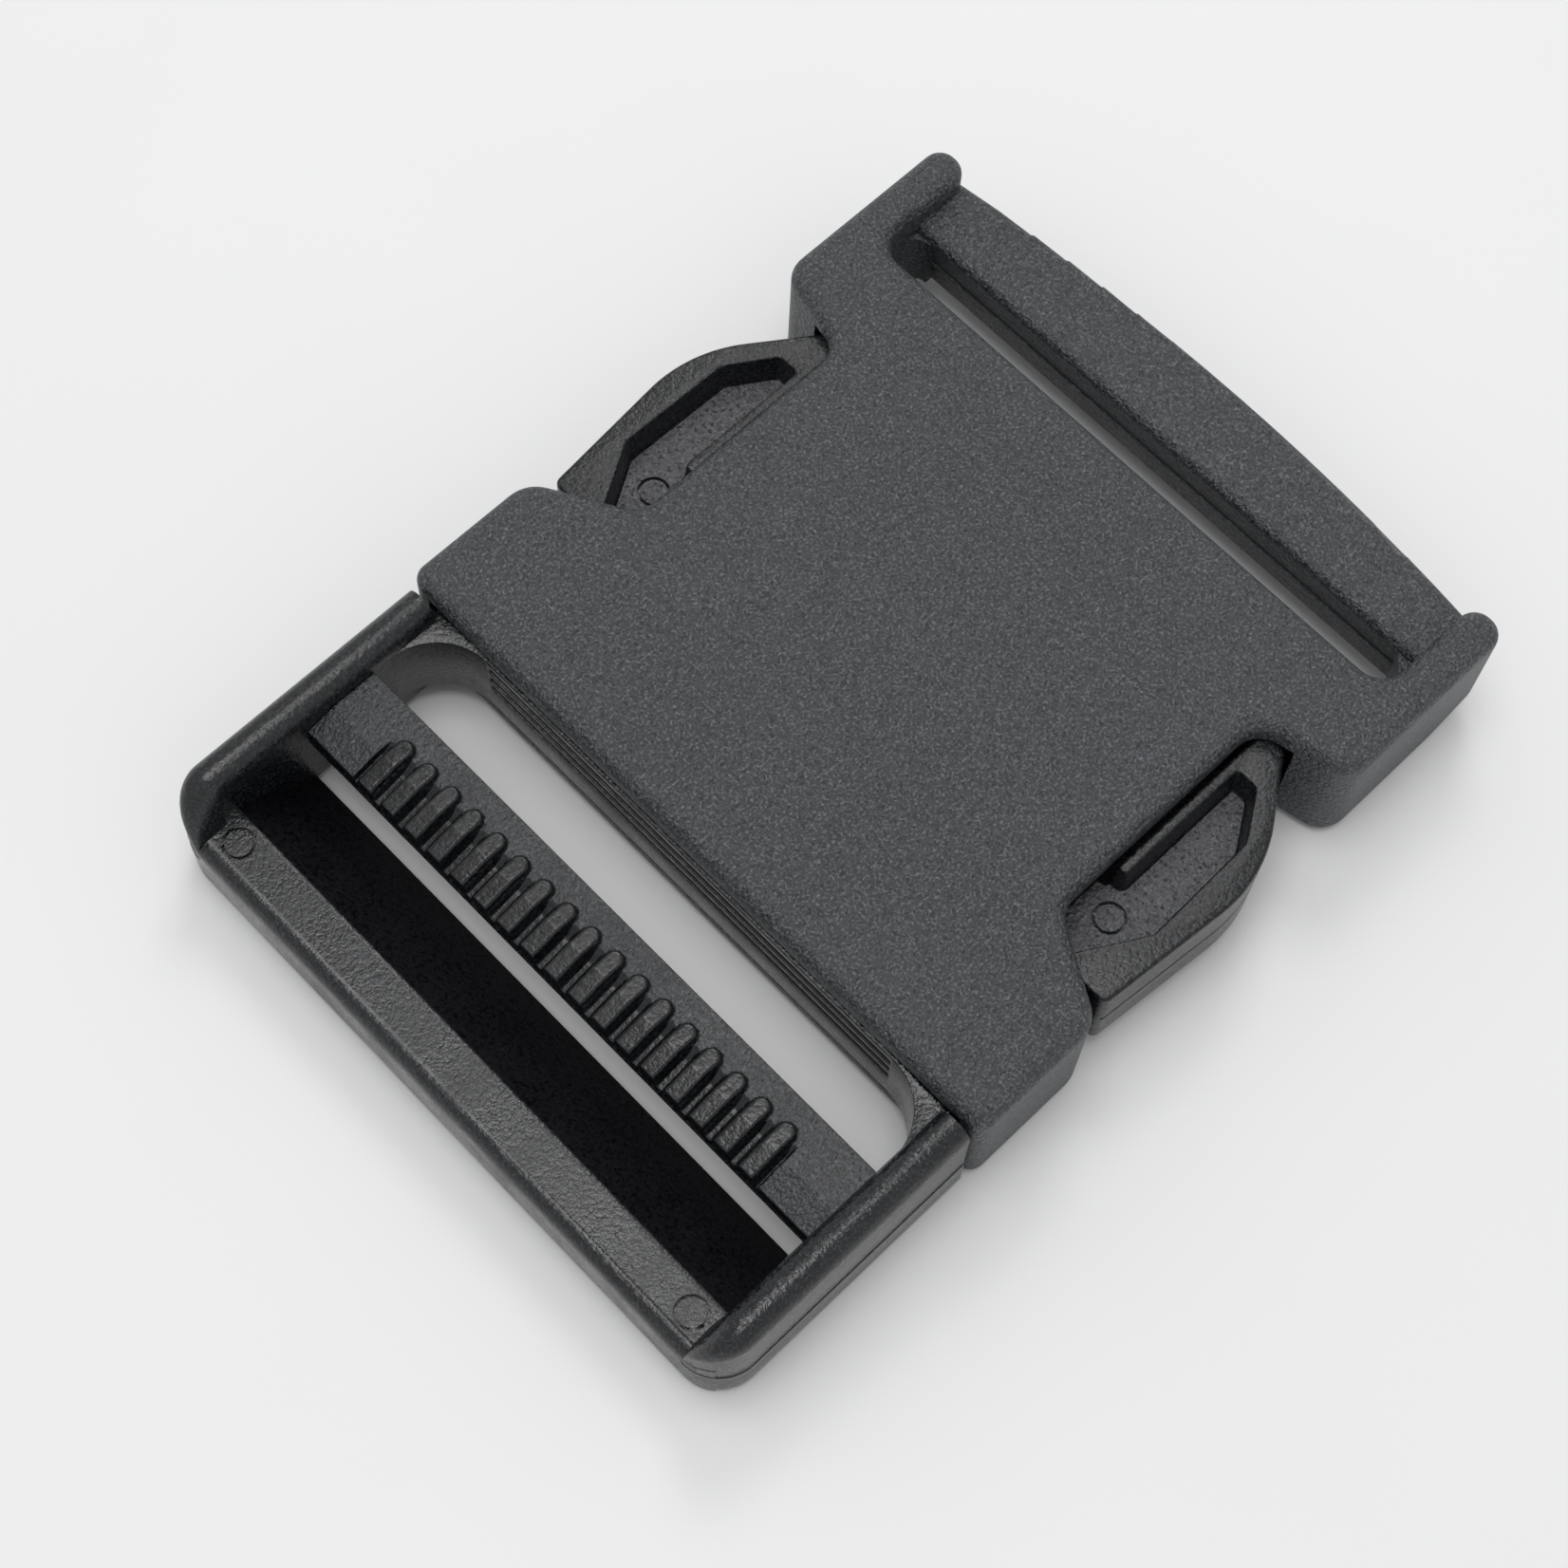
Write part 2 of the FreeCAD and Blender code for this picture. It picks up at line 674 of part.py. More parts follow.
os.makedirs("parts", exist_ok=True)
failed = [item.Name for item in doc.Objects if "Invalid" in item.State or "Error" in item.State]
if failed:
    raise RuntimeError("failed objects: %s" % ", ".join(failed))
for node in nodes:
    if node.Shape.isNull() or not node.Shape.isValid() or len(node.Shape.Solids) != 1:
        raise RuntimeError("%s is not one valid solid" % node.Label)
for node in nodes:
    node.Shape.exportStep("parts/%s.step" % node.Label)
    print(node.Label, round(node.Shape.Volume, 1), node.Shape.optimalBoundingBox())
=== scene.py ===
"""Looks of the side-release buckle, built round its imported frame.

+X runs from the plug's outer end to the socket's strap end and +Z is up. Sizes are written in
millimetres and turned into metres where a mesh is made. The lights, the blend along the arms and
the depth of the grain are in metres.
"""
from math import atan2, cos, hypot, pi, radians, sin, sqrt

import bmesh
import bpy
from mathutils import Matrix, Vector


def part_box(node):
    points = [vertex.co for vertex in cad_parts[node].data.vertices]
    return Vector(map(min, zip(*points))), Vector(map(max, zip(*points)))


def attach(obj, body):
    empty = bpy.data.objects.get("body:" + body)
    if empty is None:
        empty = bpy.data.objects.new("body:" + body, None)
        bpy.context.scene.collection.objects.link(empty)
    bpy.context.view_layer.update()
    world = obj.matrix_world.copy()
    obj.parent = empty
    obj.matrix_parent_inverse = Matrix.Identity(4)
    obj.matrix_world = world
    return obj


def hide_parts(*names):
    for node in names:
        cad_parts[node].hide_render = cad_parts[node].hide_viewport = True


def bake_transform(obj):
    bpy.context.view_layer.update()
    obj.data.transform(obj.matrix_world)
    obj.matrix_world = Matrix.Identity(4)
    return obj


MM = 0.001
WELD = 0.003
MITRE_LIMIT = 0.4
STRAIGHT = 1e-4
OVERLAP = 1
CUT_CLEARANCE = 0.6
CUT_SPAN = (-1, 13)

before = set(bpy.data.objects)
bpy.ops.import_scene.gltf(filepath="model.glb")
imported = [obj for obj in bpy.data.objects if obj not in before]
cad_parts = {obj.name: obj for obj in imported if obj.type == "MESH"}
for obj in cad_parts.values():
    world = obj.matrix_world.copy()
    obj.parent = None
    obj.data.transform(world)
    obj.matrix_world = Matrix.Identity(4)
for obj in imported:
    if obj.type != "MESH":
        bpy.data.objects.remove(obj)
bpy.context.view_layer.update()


def box_mm(node):
    """Lowest and highest corner of a CAD node in millimetres."""
    low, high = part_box(node)
    return low / MM, high / MM


frame_low, frame_high = box_mm("plug_frame")
grip_low, grip_high = box_mm("plug_grip_bar")
arm_low, arm_high = box_mm("left_arm")

# Plug frame: rails, their lip and the end bar
RAIL_WIDTH = 3.0
RAIL_STATIONS = (-24.0, -31.0)
MOUTH_END_ROUND = 0.45
RAIL_END_X = -16.9
RAIL_CROWN = 1.45
RAIL_FOOT = 0.7
CORNER_RADIUS = 3.6
CORNER_FALL = 0.5
LIP_Z = 6.3
LIP_CROWN = 1.2
LIP_REACH = 1.0
BAR_END_GAP = 1.2
BAR_INSET = 0.04
BAR_PLAN_X = (0.5, -20.0)
RAMP_TOP_X = -36.6
RAMP_FOOT_X = -29.4
RAMP_EDGE_BACK = 0.35
RAMP_EDGE_ROUND = 0.7
RAMP_EDGE_ANGLE = 50
RAMP_TOE = (0.25, 0.2, 0.4)

# Plug frame: base beam and the webs of the adjuster slot
BEAM_OUTER_X = -16.5
BEAM_INNER_X = -12.2
BEAM_HALF_WIDTH = 27.2
BEAM_STEP = 0.4
BEAM_EDGE = 0.12
BEAM_BOTTOM_Z = 2.3
BEAM_TOP_Z = 9.5
WEB_RADIUS = 5.0
GROOVE_HEIGHTS = (5.1, 6.5, 7.9)
GROOVE_WIDTH = 0.85
GROOVE_DEPTH = 0.6
RAIL_INNER_Y = 26.2

# Grip bar
RIB_COUNT = 17
RIB_PITCH = 2.4825
RIB_HALF_WIDTH = 0.8
RIB_NOSE_X = -25.6
RIB_RISE = 0.6
RIB_ROUND = 0.32
VALLEY_DEPTH = 0.6
VALLEY_RUN = 1.2
VALLEY_SLOPE = 0.2
GRIP_TOP_Z = 9.5
GRIP_REAR_Z = 8.8
GRIP_CREASE_X = -27.0
GRIP_STEP = 0.1
GRIP_EDGE = 0.18
RIB_TRACE = 0.06

# Arms
ARM_ROOT_X = -15.6
ROOT_REACH = 1.6
ROOT_SINK = 0.3
ROOT_RISE = 1.2
ARM_BEAM_Y = 24.3
HOOK_X = -2.9
HOOK_Y = 28.7
HOOK_RADIUS = 0.7
HOOK_INNER_RADIUS = 1.5
CREST_X = 12.5
CREST_Y = 30.19
CREST_RADIUS = 12.0
TIP_Y = 24.0
TIP_RADIUS = 1.0
TIP_INNER_RADIUS = 0.9
PAD_STEP_X = 4.6
PAD_INNER_Y = 22.1
PAD_STEP_RADIUS = 0.3
ARM_FLOOR_Z = 7.3
ARM_CEILING_Z = 4.7
POCKET_DRAFT = 0.35
MOAT_WIDTH = 0.15
MOAT_DEPTH = 0.4
MOAT_OVERLAP = 0.02
ARM_EDGE = 0.4
POCKET_EDGE = 0.24
POCKET_CORNERS = (
    (-3.0, 23.8, 0),
    (-3.0, 20.0, 0),
    (5.4, 20.0, 0),
    (5.4, 22.9, 0.25),
    (17.3, 22.9, 0.5),
    (17.3, 24.9, 0.9),
    (13.4, 27.4, 1.2),
    (3.5, 27.6, 1.2),
)

# Parting lines and flash of the mould
PARTING_Z = 4.4
PARTING_STEP = 0.08
PARTING_MIDDLE_Z = 6.0
CREST_LINE = 0.16
CREST_END_X = -2.65
CREST_END_Y = 23.8
FLASH_X = 33.95
FLASH_ROOT = 0.3
FLASH_RISE = 0.14
FLASH_END_GAP = 0.4

# Ejector pin marks
MARK_RADIUS = 1.3
MARK_WIDTH = 0.25
MARK_DEPTH = 0.4
MARK_STEPS = 48
BAR_MARK = (-38.4, 23.9)
PAD_MARK = (3.0, 24.0)

# Stage, lights in metres and watts, and camera in millimetres and degrees
SKY_STRENGTH = 0.61
SKY_FADE = ((0.70, (1.0, 1.0, 1.0, 1)), (0.97, (0.90, 0.90, 0.91, 1)))
FLOOR_REACH = 900
FLOOR_DROP = 0.02
FLOOR_ROUGHNESS = 0.55
FLOOR_MOTTLE_SCALE = 25
FLOOR_MOTTLE_DETAIL = 3
FLOOR_TONES = ((0.81, 0.812, 0.815, 1), (0.84, 0.842, 0.845, 1))
LIGHTS = {
    "window": {"place": (0.40, 0.30, 0.62), "size": 0.24, "power": 1.0},
    "overhead": {"place": (-0.05, 0.05, 0.90), "size": 0.45, "power": 2.8},
}
CAMERA_PLACE = (-71.35, -59.09, 209.83)
CAMERA_HEADING = 42.288
CAMERA_TILT = 66.659
CAMERA_ROLL = 3.88
CAMERA_LENS = 69.11
CAMERA_NEAR = 0.01
SENSOR_WIDTH = 36

# Colours and grain of the plastic, as noise scales and ranges
SPECK_COLOUR = (0.165, 0.182, 0.204)
PIT_SHADE = 0.25
CLOUD_LIFT = 1.25
FINE_SCALE = 4600
COARSE_SCALE = 2600
CLOUD_SCALE = 60
FLOW_SCALE = 220
FLOW_STRETCH = (0.12, 1, 1)
SPECK_RANGE = (0.50, 0.78)
PIT_RANGE = (0.38, 0.46)
NOISE_RANGE = (0.3, 0.7)
FLOW_RANGE = (0.35, 0.65)
ROUGHNESS_SPREAD = 0.07
FINE_RELIEF = 0.6

# Which faces take the second plastic: slopes as the Z of a face's normal, margins in millimetres. On the
# ramp and in the beam's grooves that second plastic is a near-black painted shade
RAMP_SLOPES = (0.2, 0.9)
GROOVE_SHARES = (0.2, 1.1)
GROOVE_FOOT_MARGIN = 0.1
GROOVE_TOP_MARGIN = 0.2
LEVEL_SLOPE = 0.9
FLOOR_MARGIN = 0.05

# Sockets of the colour mix node
MIX_FIRST, MIX_SECOND, MIX_RESULT = 6, 7, 2


def link(name, data):
    """New object in the scene."""
    obj = bpy.data.objects.new(name, data)
    bpy.context.scene.collection.objects.link(obj)
    return obj


def mesh_object(name, points, faces):
    """Object from points in millimetres."""
    mesh = bpy.data.meshes.new(name)
    mesh.from_pydata([(x * MM, y * MM, z * MM) for x, y, z in points], [], faces)
    mesh.update()
    solid = bmesh.new()
    solid.from_mesh(mesh)
    bmesh.ops.recalc_face_normals(solid, faces=solid.faces)
    solid.to_mesh(mesh)
    solid.free()
    return link(name, mesh)


def arc_points(centre, radius, start, end, steps):
    """Points of an arc between two angles in radians."""
    return [(centre[0] + radius * cos(start + (end - start) * i / steps),
             centre[1] + radius * sin(start + (end - start) * i / steps)) for i in range(steps + 1)]


def rounded(corners, steps=8):
    """Outline through corners given as (x, y, radius), each rounded by its radius."""
    outline = []
    count = len(corners)
    for i, (x, y, radius) in enumerate(corners):
        here = Vector((x, y))
        back = Vector(corners[i - 1][:2]) - here
        ahead = Vector(corners[(i + 1) % count][:2]) - here
        half = back.angle(ahead) / 2
        if radius == 0 or abs(half - pi / 2) < STRAIGHT:
            outline.append((x, y))
            continue
        reach = radius / (sin(half) / cos(half))
        first = here + back.normalized() * reach
        last = here + ahead.normalized() * reach
        middle = here + (back.normalized() + ahead.normalized()).normalized() * (radius / sin(half))
        start = atan2(first.y - middle.y, first.x - middle.x)
        sweep = atan2(last.y - middle.y, last.x - middle.x) - start
        sweep = (sweep + pi) % (2 * pi) - pi
        outline += arc_points(middle, radius, start, start + sweep, steps)
    return outline


def inset(outline, distance):
    """Outline moved inwards by a distance, corner by corner."""
    area = sum(a[0] * b[1] - b[0] * a[1] for a, b in zip(outline, outline[1:] + outline[:1]))
    turn = 1 if area > 0 else -1
    moved = []
    for i, point in enumerate(outline):
        here = Vector(point)
        back = (here - Vector(outline[i - 1])).normalized()
        ahead = (Vector(outline[(i + 1) % len(outline)]) - here).normalized()
        normal = Vector((-back.y - ahead.y, back.x + ahead.x)).normalized() * turn
        share = max(normal.dot(Vector((-ahead.y, ahead.x)) * turn), MITRE_LIMIT)
        moved.append(tuple(here + normal * distance / share))
    return moved


def prism(name, first, last):
    """Solid between two outlines in space with the same count of points."""
    count = len(first)
    sides = [(i, (i + 1) % count, count + (i + 1) % count, count + i) for i in range(count)]
    return mesh_object(name, first + last, sides + [tuple(range(count)), tuple(range(count, 2 * count))])


def upright(name, outline, low, high, low_inset=0.0):
    """Solid between two heights over a plan outline, drawn in by low_inset at its lower end."""
    lower = inset(outline, low_inset) if low_inset else outline
    return prism(name, [(x, y, low) for x, y in lower], [(x, y, high) for x, y in outline])


def across(name, section, half_width):
    """Solid with an XZ section that runs across the buckle."""
    return prism(name, [(x, -half_width, z) for x, z in section],
                 [(x, half_width, z) for x, z in section])


def bake_modifiers(obj):
    """Turn an object's modifiers into its mesh."""
    graph = bpy.context.evaluated_depsgraph_get()
    mesh = bpy.data.meshes.new_from_object(obj.evaluated_get(graph))
    obj.modifiers.clear()
    obj.data = mesh
    return obj


def combine(obj, other, operation):
    """Join, cut or intersect obj with other, which is used up."""
    modifier = obj.modifiers.new("combine", "BOOLEAN")
    modifier.operation = operation
    modifier.solver = "EXACT"
    modifier.object = other
    bpy.context.view_layer.update()
    bake_modifiers(obj)
    bpy.data.objects.remove(other)
    solid = bmesh.new()
    solid.from_mesh(obj.data)
    bmesh.ops.remove_doubles(solid, verts=solid.verts, dist=WELD * MM)
    bmesh.ops.dissolve_degenerate(solid, edges=solid.edges, dist=WELD * MM)
    solid.to_mesh(obj.data)
    solid.free()
    return obj


def soften(obj, width, angle, segments, miter="MITER_ARC"):
    """Round the edges that are sharper than angle."""
    modifier = obj.modifiers.new("soften", "BEVEL")
    modifier.limit_method = "ANGLE"
    modifier.angle_limit = radians(angle)
    modifier.width = width * MM
    modifier.segments = segments
    modifier.miter_outer = miter
    bpy.context.view_layer.update()
    return bake_modifiers(obj)


def shade(obj, angle=38):
    """Smooth shading with creases kept."""
    for polygon in obj.data.polygons:
        polygon.use_smooth = True
    obj.data.set_sharp_from_angle(angle=radians(angle))


def band(name, outer, inner, low, high):
    """Upright band between two outlines with the same count of points."""
    steps = len(outer)
    points = []
    for z in (low, high):
        points += [(x, y, z) for x, y in outer] + [(x, y, z) for x, y in inner]
    faces = []
    for i in range(steps):
        j = (i + 1) % steps
        faces.append((i, j, 2 * steps + j, 2 * steps + i))
        faces.append((steps + j, steps + i, 3 * steps + i, 3 * steps + j))
        faces.append((i, steps + i, steps + j, j))
        faces.append((2 * steps + i, 2 * steps + j, 3 * steps + j, 3 * steps + i))
    return mesh_object(name, points, faces)


def ring(name, centre, surface):
    """Cutter for the shallow ring of an ejector pin."""
    outer = arc_points(centre, MARK_RADIUS, 0, 2 * pi, MARK_STEPS)[:-1]
    inner = arc_points(centre, MARK_RADIUS - MARK_WIDTH, 0, 2 * pi, MARK_STEPS)[:-1]
    return band(name, outer, inner, surface - MARK_DEPTH, surface + OVERLAP)


def flip_side(outline, side):
    """A plan outline on the +Y side, or its mirror image on the -Y side."""
    return [(x, y * side, *rest) for x, y, *rest in outline]


# Plug frame

def rail_section(width, foot_z, top_z, crown, foot):
    """Closed section as (distance in from the outer face, z), rounded at the top and the foot."""
    steps = 7
    section = arc_points((foot, foot_z + foot), foot, 1.5 * pi, pi, steps)
    section += [(0, PARTING_Z - PARTING_STEP / 2), (PARTING_STEP, PARTING_Z + PARTING_STEP / 2)]
    section += arc_points((crown + PARTING_STEP, top_z - crown), crown, pi, pi / 2, steps)
    section += arc_points((width - crown, top_z - crown), crown, pi / 2, 0, steps)
    section += arc_points((width - foot, foot_z + foot), foot, 0, -pi / 2, steps)
    return section


def make_rail(side):
    """One side rail, swept round its corner and down into the end bar's lip."""
    bend_x = frame_low.x + CORNER_RADIUS
    bend_y = frame_high.y - CORNER_RADIUS
    stations = [((x, frame_high.y), (0.0, 1.0), 0.0) for x in (RAIL_END_X, *RAIL_STATIONS)]
    steps = 22
    for i in range(steps + 1):
        turn = pi / 2 * i / steps
        way = (-sin(turn), cos(turn))
        stations.append(((bend_x + CORNER_RADIUS * way[0], bend_y + CORNER_RADIUS * way[1]), way, turn))
    stations.append(((frame_low.x, bend_y - LIP_REACH), (-1.0, 0.0), pi / 2))

    points = []
    for (x, y), way, turn in stations:
        height = max(cos(turn), 0.0) ** CORNER_FALL
        top = LIP_Z + (frame_high.z - LIP_Z) * height
        crown = LIP_CROWN + (RAIL_CROWN - LIP_CROWN) * height
        for depth, z in rail_section(RAIL_WIDTH, frame_low.z, top, crown, RAIL_FOOT):
            points.append((x - way[0] * depth, (y - way[1] * depth) * side, z))
    ring_size = len(points) // len(stations)
    faces = []
    for s in range(len(stations) - 1):
        for i in range(ring_size):
            j = (i + 1) % ring_size
            faces.append((s * ring_size + i, s * ring_size + j,
                          (s + 1) * ring_size + j, (s + 1) * ring_size + i))
    last = (len(stations) - 1) * ring_size
    faces += [tuple(range(ring_size)), tuple(range(last, last + ring_size))]
    rail = mesh_object("rail", points, faces)
    return soften(rail, MOUTH_END_ROUND, angle=60, segments=4, miter="MITER_SHARP")


def make_end_bar():
    """End bar with a rounded lip, a flat top and the ramp down to the strap's way out."""
    section = arc_points((frame_low.x + RAIL_FOOT, frame_low.z + RAIL_FOOT), RAIL_FOOT,
                         1.5 * pi, pi, steps=6)
    section += arc_points((frame_low.x + LIP_CROWN, LIP_Z - LIP_CROWN), LIP_CROWN,
                          pi, pi / 2, steps=8)
    section += arc_points((RAMP_TOP_X - RAMP_EDGE_BACK, LIP_Z - RAMP_EDGE_ROUND), RAMP_EDGE_ROUND,
                          pi / 2, radians(RAMP_EDGE_ANGLE), steps=4)
    toe_back, toe_height, toe_foot = RAMP_TOE
    section += [(RAMP_FOOT_X - toe_back, frame_low.z + toe_height),
                (RAMP_FOOT_X - toe_foot, frame_low.z)]
    bar = across("end_bar", section, frame_high.y - BAR_END_GAP)
    reach, inner_x = BAR_PLAN_X
    outer_x = frame_low.x + BAR_INSET
    side_y = frame_high.y - BAR_INSET
    bend_y = frame_high.y - CORNER_RADIUS
    plan = rounded([
        (frame_low.x - reach, bend_y, 0),
        (outer_x, bend_y, 0),
        (outer_x, side_y, CORNER_RADIUS - BAR_INSET),
        (inner_x, side_y, 0),
        (inner_x, -side_y, 0),
        (outer_x, -side_y, CORNER_RADIUS - BAR_INSET),
        (outer_x, -bend_y, 0),
        (frame_low.x - reach, -bend_y, 0),
    ], steps=16)
    return combine(bar, upright("limit", plan, *CUT_SPAN), "INTERSECT")


def make_beam():
    """Base beam inside the mouth, with the webs that round the slot's corners."""
    corner_y = RAIL_INNER_Y - WEB_RADIUS
    step_x = RAIL_END_X + BEAM_STEP
    outline = [(BEAM_INNER_X, -BEAM_HALF_WIDTH), (BEAM_INNER_X, BEAM_HALF_WIDTH),
               (step_x, BEAM_HALF_WIDTH), (step_x, RAIL_INNER_Y + OVERLAP),
               (BEAM_OUTER_X - WEB_RADIUS, RAIL_INNER_Y + OVERLAP)]
    outline += arc_points((BEAM_OUTER_X - WEB_RADIUS, corner_y), WEB_RADIUS, pi / 2, 0, steps=14)
    outline += arc_points((BEAM_OUTER_X - WEB_RADIUS, -corner_y), WEB_RADIUS, 0, -pi / 2, steps=14)
    outline += [(BEAM_OUTER_X - WEB_RADIUS, -RAIL_INNER_Y - OVERLAP),
                (step_x, -RAIL_INNER_Y - OVERLAP), (step_x, -BEAM_HALF_WIDTH)]
    beam = upright("beam", outline, BEAM_BOTTOM_Z, BEAM_TOP_Z)
    for low in GROOVE_HEIGHTS:
        half = corner_y + GROOVE_DEPTH
        plan = [(BEAM_OUTER_X - OVERLAP, -half),
                (BEAM_OUTER_X + GROOVE_DEPTH, -half + 2 * GROOVE_DEPTH),
                (BEAM_OUTER_X + GROOVE_DEPTH, half - 2 * GROOVE_DEPTH),
                (BEAM_OUTER_X - OVERLAP, half)]
        combine(beam, upright("groove", plan, low, low + GROOVE_WIDTH), "DIFFERENCE")
    return soften(beam, BEAM_EDGE, angle=50, segments=2)


def make_plug_frame():
    """The frame as one moulding: end bar, rails and base beam."""
    whole = make_end_bar()
    whole.name = "plug_frame_moulding"
    for spot in flip_side([BAR_MARK], 1) + flip_side([BAR_MARK], -1):
        combine(whole, ring("ring", spot, LIP_Z), "DIFFERENCE")
    for piece in (make_rail(1), make_rail(-1), make_beam()):
        combine(whole, piece, "UNION")
    shade(whole)
    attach(whole, "plug")
    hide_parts("plug_frame")
    return whole


# Grip bar

def grip_base(x):
    """Top of the grip bar without its ribs."""
    fall = (GRIP_TOP_Z - GRIP_REAR_Z) * (GRIP_CREASE_X - x) / (GRIP_CREASE_X - grip_low.x)
    return GRIP_TOP_Z - max(fall, 0.0)


def grip_height(x, y):
    """Top of the grip bar, with its round-nosed ribs."""
    base = grip_base(x)
    number = round(y / RIB_PITCH)
    if abs(number) > RIB_COUNT // 2:
        return base
    aside = abs(y - number * RIB_PITCH)
    depth = RIB_HALF_WIDTH - hypot(max(x - RIB_NOSE_X, 0.0), aside)
    if depth <= 0:
        sink = min(max((RIB_NOSE_X - x) / VALLEY_RUN, 0.0), 1.0)
        return base - VALLEY_DEPTH * sink * min(-depth / VALLEY_SLOPE, 1.0)
    share = 1 - min(depth / RIB_ROUND, 1.0)
    return base + RIB_RISE * sqrt(1 - share * share)


def make_grip_bar():
    """Crossbar whose top is a fine grid raised into ribs, closed by plain sides."""
    columns = int((grip_high.x - grip_low.x) / GRIP_STEP)
    rows = int((grip_high.y - grip_low.y) / GRIP_STEP)
    xs = [grip_low.x + (grip_high.x - grip_low.x) * i / columns for i in range(columns + 1)]
    ys = [grip_low.y + (grip_high.y - grip_low.y) * j / rows for j in range(rows + 1)]
    points = [(x, y, grip_height(x, y)) for y in ys for x in xs]
    width = columns + 1
    faces = [(j * width + i, j * width + i + 1, (j + 1) * width + i + 1, (j + 1) * width + i)
             for j in range(rows) for i in range(columns)]
    loop = list(range(width))
    loop += [j * width + columns for j in range(1, rows + 1)]
    loop += [rows * width + i for i in range(columns - 1, -1, -1)]
    loop += [j * width for j in range(rows - 1, 0, -1)]
    foot = len(points)
    points += [(points[i][0], points[i][1], grip_low.z) for i in loop]
    count = len(loop)
    faces += [(loop[i], loop[(i + 1) % count], foot + (i + 1) % count, foot + i) for i in range(count)]
    faces.append(tuple(range(foot, foot + count)))
    bar = mesh_object("plug_grip_bar_ribbed", points, faces)
    soften(bar, GRIP_EDGE, angle=60, segments=2)
    shade(bar, angle=50)
    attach(bar, "plug")
    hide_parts("plug_grip_bar")
    return bar


# Arms

def crest_band(outline):
    """Cutter for the fine parting line along the arm's outer wall."""
    outer = inset(outline, -CUT_CLEARANCE)
    inner = inset(outline, CREST_LINE)
    along = [i for i, (x, y) in enumerate(outline) if x > CREST_END_X and abs(y) > CREST_END_Y]
    plan = [outer[i] for i in along] + [inner[i] for i in reversed(along)]
    return upright("parting", plan, PARTING_MIDDLE_Z - CREST_LINE, PARTING_MIDDLE_Z + CREST_LINE)


def make_arm(name, side):
    """One arm with its hook and press pad, grown out of the plug's beam without a seam."""
    outline = rounded(flip_side([
        (ARM_ROOT_X, arm_low.y, 0),
        (PAD_STEP_X, arm_low.y, PAD_STEP_RADIUS),
        (PAD_STEP_X, PAD_INNER_Y, PAD_STEP_RADIUS),
        (arm_high.x, PAD_INNER_Y, TIP_INNER_RADIUS),
        (arm_high.x, TIP_Y, TIP_RADIUS),
        (CREST_X, CREST_Y, CREST_RADIUS),
        (HOOK_X, HOOK_Y, HOOK_RADIUS),
        (HOOK_X, ARM_BEAM_Y, HOOK_INNER_RADIUS),
        (BEAM_INNER_X + ROOT_REACH, ARM_BEAM_Y, 0),
        (BEAM_INNER_X - ROOT_SINK, ARM_BEAM_Y + ROOT_RISE, 0),
        (ARM_ROOT_X, ARM_BEAM_Y + ROOT_RISE, 0),
    ], side), steps=16)
    arm = upright(name + "_sprung", outline, arm_low.z, arm_high.z)
    soften(arm, ARM_EDGE, angle=50, segments=4)

    hollow = rounded(flip_side(POCKET_CORNERS, side), steps=6)
    top = upright("top", hollow, ARM_FLOOR_Z, arm_high.z + CUT_CLEARANCE, POCKET_DRAFT)
    combine(arm, top, "DIFFERENCE")
    soften(arm, POCKET_EDGE, angle=60, segments=3)
    foot = inset(hollow, POCKET_DRAFT - MOAT_OVERLAP)
    moat = band("moat", foot, inset(foot, MOAT_WIDTH),
                ARM_FLOOR_Z - MOAT_DEPTH, ARM_FLOOR_Z + MOAT_OVERLAP)
    combine(arm, moat, "DIFFERENCE")
    bottom = upright("bottom", hollow, arm_low.z - CUT_CLEARANCE, ARM_CEILING_Z)
    combine(arm, bottom, "DIFFERENCE")
    combine(arm, crest_band(outline), "DIFFERENCE")
    combine(arm, ring("ring", flip_side([PAD_MARK], side)[0], ARM_FLOOR_Z), "DIFFERENCE")
    shade(arm)
    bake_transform(arm)
    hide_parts(name)
    return arm


def make_bar_flash():
    """Fine moulding flash along the inner face of the strap bar."""
    section = [(FLASH_X + FLASH_ROOT, PARTING_MIDDLE_Z - FLASH_RISE),
               (FLASH_X - FLASH_RISE, PARTING_MIDDLE_Z),
               (FLASH_X + FLASH_ROOT, PARTING_MIDDLE_Z + FLASH_RISE)]
    flash = across("strap_bar_flash", section, RAIL_INNER_Y - FLASH_END_GAP)
    shade(flash)
    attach(flash, "socket")
    return flash


# Materials

